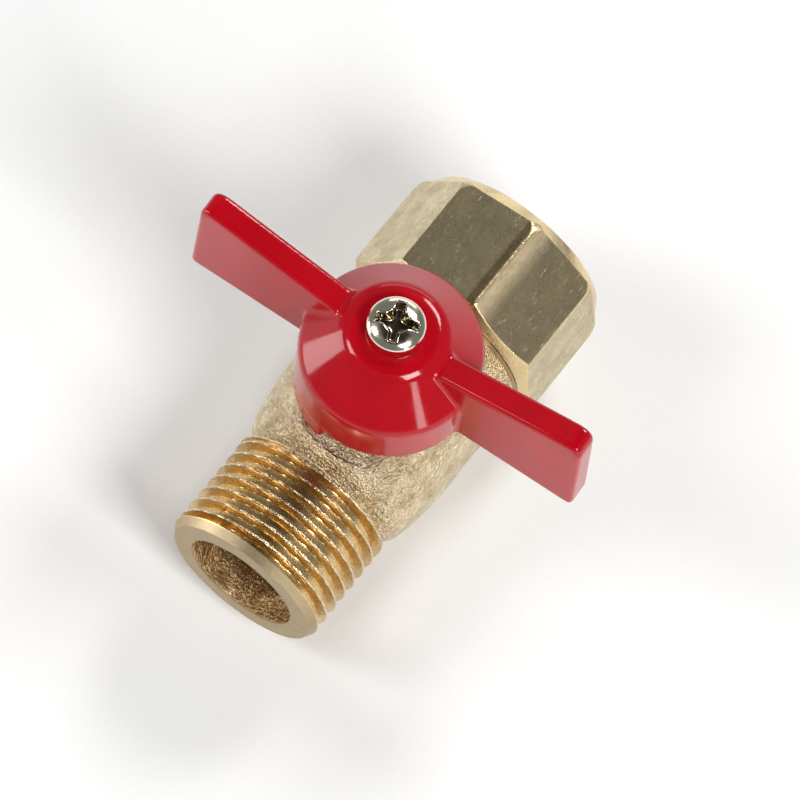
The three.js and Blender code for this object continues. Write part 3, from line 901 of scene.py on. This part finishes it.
def handle_distance(p):
    """Distance to the handle: hub and wings with the dish, hollow, tab, socket and hole."""
    away, level = about_stem(p)
    solid = smooth_min(hub(p), wings(p), WING_FILLET)
    depth = DISH["rim_z"] - DISH["floor_z"]
    slope = (DISH["rim"] - DISH["floor"]) / depth
    wall = (away - DISH["floor"] - (level - DISH["floor_z"]) * slope) / math.hypot(1, slope)
    dish = smooth_max(wall, DISH["floor_z"] - level, 0.2)
    solid = smooth_max(solid, -dish, 0.4)
    hollow = smooth_max(away - SKIRT["inner"], level - SKIRT["roof"], 1.0)
    post = smooth_max(away - POST["radius"], POST["foot"] - level, 0.3)
    hollow = smooth_max(hollow, -post, 0.6)
    solid = smooth_max(solid, -hollow, 0.3)
    solid = smooth_min(solid, tab(p), 0.15)
    half = SQUARE["socket"] / 2
    socket = np.maximum(slab(p[..., 0], half), slab(p[..., 1], half))
    socket = np.maximum(socket, level - SQUARE["top"])
    hole = np.minimum(socket, away - SCREW_HOLE["through"])
    return smooth_max(solid, -hole, 0.1)


def handle():
    low = (-SKIRT["radius"], -WING["tip"], TAB["bottom"])
    high = (SKIRT["radius"], WING["tip"], WINGS_TOP)
    return surface_of("handle_casting", handle_distance, low, high, HANDLE_STEP, PART_OPEN)


# ---- screw, stem, ball and seals ----
CROSS = {"half": 0.60, "reach": 2.75, "depth": 1.8, "turn": math.radians(20), "core": 1.55}
CROSS_TAPER = {"half": 0.06, "reach": 0.40, "core": 0.35}  # per mm of depth
SHANK_THREAD = {"pitch": 0.7, "depth": 0.28}
RECESS_BLEND = 0.5


def screw_dome(p):
    """Distance to the outside of the screw's head: an upright wall under a flattened dome."""
    away, level = about_stem(p)
    stretch = SCREW["head"] / (SCREW["top"] - SCREW["wall_top"])
    above = np.maximum(level - SCREW["wall_top"], 0) * stretch
    dome = np.sqrt(away**2 + above**2) - SCREW["head"]
    return dome / np.where(above > 0, stretch * 0.7, 1.0)


def screw_distance(p):
    """Distance to the screw: a domed head with a cross recess, and a threaded shank."""
    away, level = about_stem(p)
    head = smooth_max(screw_dome(p), level - SCREW["top"], 0.1)
    head = smooth_max(head, SCREW["seat"] - level, 0.3)
    turns = level / SHANK_THREAD["pitch"] - np.arctan2(p[..., 1], p[..., 0]) / (2 * math.pi)
    ridge = SHANK_THREAD["depth"] * np.abs(turns % 1.0 - 0.5) * 2
    shank = smooth_max(away - SCREW["shank"] + ridge, SCREW["foot"] - level, 0.5)
    shank = np.maximum(shank * 0.8, level - SCREW["seat"] - 0.3)
    solid = np.minimum(head, shank)
    c, s = math.cos(CROSS["turn"]), math.sin(CROSS["turn"])
    one = np.abs(p[..., 0] * c + p[..., 1] * s)
    two = np.abs(p[..., 1] * c - p[..., 0] * s)
    below = SCREW["top"] - level
    reach, half, core_radius = (
        CROSS[key] - CROSS_TAPER[key] * below for key in ("reach", "half", "core")
    )
    arms = [smooth_max(a - reach, b - half, 0.15) for a, b in ((one, two), (two, one))]
    core = away - core_radius
    cross = smooth_min(smooth_min(arms[0], arms[1], 0.25), core, 0.3)
    cross = smooth_max(cross, below - CROSS["depth"], 0.3)
    return smooth_max(solid, -cross, 0.16)


def handle_screw():
    low = (-SCREW["head"], -SCREW["head"], SCREW["foot"])
    high = (SCREW["head"], SCREW["head"], SCREW["top"])
    made = surface_of("cross_screw", screw_distance, low, high, SCREW_STEP, PART_OPEN)

    # painted shade: 1 inside the cross recess, where the metal is drawn darker, fading out over
    # RECESS_BLEND
    def painted_recess_shade(p):
        in_head = p[:, 2] > SCREW["seat"] + 0.5
        return np.clip(-screw_dome(p) / RECESS_BLEND, 0, 1) * in_head

    paint(made, "painted_recess_shade", painted_recess_shade)
    return made


def stem():
    square_half = SQUARE["stem"] / 2
    groove_floor = O_RING["centre"] - O_RING["section"] - O_RING_PLAY["floor"]
    groove_half = O_RING["section"] + O_RING_PLAY["side"]

    def distance(p):
        away, level = about_stem(p)
        shaft = cylinder(p, STEM["radius"], STEM["foot"], STEM["top"], 0.4)
        square = smooth_max(slab(p[..., 0], square_half), slab(p[..., 1], square_half), 0.3)
        shaft = smooth_max(shaft, np.where(level > BOSS["top"], square, -1.0), 0.1)
        shaft = np.minimum(shaft, cylinder(p, STEM["collar"], STEM["foot"], STEM["collar_top"], 0.3))
        for centre in (O_RING["lower"], O_RING["upper"]):
            ring = np.maximum(groove_floor - away, slab(level - centre, groove_half))
            shaft = np.maximum(shaft, -ring)
        sides = slab(p[..., 1], SLOT["width"] / 2 - TANG["side_play"])
        ends = np.maximum(SLOT["floor"] + TANG["foot_play"] - level, level - STEM["foot"] - 0.2)
        tang = smooth_max(np.maximum(slab(p[..., 0], TANG["half_length"]), sides), ends, 0.3)
        tapped = np.maximum(away - SCREW_HOLE["tapped"], SCREW_HOLE["foot"] - level)
        return np.maximum(np.minimum(shaft, tang), -tapped)

    reach = STEM["collar"] + 0.1
    low, high = (-reach, -reach, SLOT["floor"]), (reach, reach, STEM["top"])
    return surface_of("stem_shaft", distance, low, high, STEM_STEP, PART_OPEN)


def ball():
    def distance(p):
        sphere = np.sqrt((p**2).sum(-1)) - BALL_RADIUS
        port = np.hypot(p[..., 0], p[..., 2]) - PORT_RADIUS
        slot = np.maximum(slab(p[..., 1], SLOT["width"] / 2), SLOT["floor"] - p[..., 2])
        return smooth_max(smooth_max(sphere, -port, 0.5), -slot, 0.2)

    reach = (BALL_RADIUS,) * 3
    return surface_of("ball_plug", distance, tuple(-r for r in reach), reach, BALL_STEP, PART_OPEN)


def seat_ring(name, side):
    """A seat whose front is hollowed to the ball; side is -1 at the inlet and 1 at the outlet."""
    hollow = BALL_RADIUS + SEAT["running"]
    start = math.acos(SEAT["inner"] / hollow)
    end = math.asin(SEAT["lip"] / hollow)
    angles = np.linspace(start, end, 12)
    front = [[side * hollow * math.sin(a), hollow * math.cos(a)] for a in angles]
    outline = front + [
        [side * SEAT["lip"], SEAT["outer"]],
        [side * SEAT["back"], SEAT["outer"]],
        [side * SEAT["back"], SEAT["inner"]],
        front[0],
    ]
    return turned(name, [(outline, 0.6)], SMALL_COLUMNS)


def o_ring(name, radius, section, height, axis="z"):
    outline = arc((height, radius), section, 0, 360, 21)
    return turned(name, [(outline, 1.0)], SMALL_COLUMNS, axis=axis)


def thrust_washer():
    inner, outer, low, high = (WASHER[key] for key in ("inner", "outer", "bottom", "top"))
    bevel = 0.08
    outline = [
        [low, inner],
        [low, outer - bevel],
        [low + bevel, outer],
        [high - bevel, outer],
        [high, outer - bevel],
        [high, inner],
        [low, inner],
    ]
    return turned("stem_washer", [(outline, 0.5)], SMALL_COLUMNS, axis="z")


# ---- assembly ----
FINISHES = {
    "cast_brass": cast_brass(),
    "turned_brass": turned_brass(),
    "red_enamel": red_enamel(),
    "plated_screw": plain_metal("plated_screw", PLATING_PALE, PLATING_DULL, 0.10, 0.25, 0.8),
    "stem_brass": plain_metal("stem_brass", STEM_GOLD, STEM_TAN, 0.18),
    "chromed_ball": plain_metal("chromed_ball", CHROME_PALE, CHROME_DULL, 0.05, 0.1, 1.0),
    "seat_plastic": soft_plastic("seat_plastic", PLASTIC_WHITE, PLASTIC_CREAM, 0.35),
    "seal_rubber": soft_plastic("seal_rubber", RUBBER_BLACK, RUBBER_GREY, 0.45),
}


def seam_ring():
    return o_ring("seam_ring", SEAL_RING["centre"], SEAL_RING["section"], SEAL_RING["x"], "x")


def stem_ring(name, level):
    return o_ring(name, O_RING["centre"], O_RING["section"], level)


# each piece, the CAD node that it stands for, the body that it rides on, and its slot
PIECES = [
    (valve_body(), "valve_body", "valve_shell", "cast_brass"),
    (end_connector(), "end_connector", "valve_shell", "turned_brass"),
    (handle(), "handle", "handle_and_stem", "red_enamel"),
    (handle_screw(), "handle_screw", "handle_and_stem", "plated_screw"),
    (stem(), "stem", "handle_and_stem", "stem_brass"),
    (ball(), "ball", "ball_body", "chromed_ball"),
    (seat_ring("inlet_seat", -1), "seat_ring_inlet", "valve_shell", "seat_plastic"),
    (seat_ring("outlet_seat", 1), "seat_ring_outlet", "valve_shell", "seat_plastic"),
    (seam_ring(), "connector_seal_ring", "valve_shell", "seal_rubber"),
    (thrust_washer(), "stem_thrust_washer", "valve_shell", "seat_plastic"),
]
for ring_name, node, level in (
    ("lower_stem_ring", "stem_o_ring_lower", O_RING["lower"]),
    ("upper_stem_ring", "stem_o_ring_upper", O_RING["upper"]),
):
    PIECES.append((stem_ring(ring_name, level), node, "handle_and_stem", "seal_rubber"))
for piece, node, body, slot_name in PIECES:
    shade(piece, FINISHES[slot_name])
    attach(piece, body)
    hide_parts(node)

# ---- floor, light and camera ----
FLOOR_SIZE = 6.0
WORLD_TOP = (0.18, 0.18, 0.17)
WORLD_ZENITH = (0.025, 0.022, 0.02)
WORLD_MIDDLE = (0.24, 0.24, 0.24)
WORLD_HORIZON = (0.36, 0.36, 0.36)
# (height of the direction, from 0 at the horizon to 1 straight above; colour)
WORLD_STOPS = [
    (0.0, WORLD_HORIZON),
    (0.16, WORLD_MIDDLE),
    (0.34, WORLD_TOP),
    (0.84, WORLD_TOP),
    (0.93, WORLD_ZENITH),
]
LIGHT_AIM = Vector((0, 0, 0.02))
# name: (azimuth and elevation in degrees, distance, width and height in metres, watts)
LAMPS = {
    "key": (250, 45, 0.60, 0.21, 0.21, 2.4),
    "left_fill": (125, 45, 0.60, 0.17, 0.17, 0.9),
    "back_fill": (0, 48, 0.60, 0.16, 0.16, 1.3),
    "back_panel": (22, 15, 0.60, 0.45, 0.20, 0.35),
    "left_panel": (117, 7, 0.60, 0.26, 0.30, 1.4),
    "right_strip": (247, 9, 0.60, 0.08, 0.22, 0.4),
}
CAMERA = {
    "place": (-240.188, -120.075, 675.306),
    "right": (0.59543575, -0.80006612, 0.07314699),
    "down": (-0.73068312, -0.57714213, -0.36470418),
    "lens": 275.04,
}


def add_floor():
    half = FLOOR_SIZE / 2
    corners = [(-half, -half, 0), (half, -half, 0), (half, half, 0), (-half, half, 0)]
    mesh = bpy.data.meshes.new("floor")
    mesh.from_pydata(corners, [], [(0, 1, 2, 3)])
    mesh.materials.append(floor_paper())
    floor = bpy.data.objects.new("floor", mesh)
    bpy.context.scene.collection.objects.link(floor)


def add_lamp(name, azimuth, elevation, distance, width, height, power):
    """A soft rectangular lamp that faces LIGHT_AIM."""
    data = bpy.data.lights.new(name, "AREA")
    data.shape = "RECTANGLE"
    data.size, data.size_y = width, height
    data.energy = power
    lamp = bpy.data.objects.new(name, data)
    bpy.context.scene.collection.objects.link(lamp)
    turn, lift = math.radians(azimuth), math.radians(elevation)
    away = Vector((math.cos(turn) * math.cos(lift), math.sin(turn) * math.cos(lift), math.sin(lift)))
    lamp.location = LIGHT_AIM + away * distance
    lamp.rotation_euler = away.to_track_quat("Z", "Y").to_euler()


def add_world():
    """Light at the horizon and dark above, as in a white tent with an open top."""
    world = bpy.data.worlds.new("studio")
    bpy.context.scene.world = world
    world.use_nodes = True
    tree = world.node_tree
    direction = add(tree, "ShaderNodeTexCoord").outputs["Generated"]
    height = add(tree, "ShaderNodeSeparateXYZ", {"Vector": direction}).outputs["Z"]
    tree.links.new(ramp(tree, height, WORLD_STOPS), tree.nodes["Background"].inputs["Color"])


def add_camera():
    """The camera, whose place is in millimetres in the valve's own frame, as the sizes are."""
    data = bpy.data.cameras.new("camera")
    data.lens = CAMERA["lens"]
    data.clip_start = 0.01
    camera = bpy.data.objects.new("camera", data)
    right, down = Vector(CAMERA["right"]), Vector(CAMERA["down"])
    up = -down
    back = right.cross(up)
    camera.matrix_world = Matrix.Translation(
        (Vector(CAMERA["place"]) + Vector((0, 0, FLOW_AXIS_Z))) * MM
    ) @ Matrix((right, up, back)).transposed().to_4x4()
    bpy.context.scene.collection.objects.link(camera)
    bpy.context.scene.camera = camera


add_floor()
add_world()
for lamp_name, values in LAMPS.items():
    add_lamp(lamp_name, *values)
add_camera()
bpy.context.scene.view_settings.view_transform = "Standard"
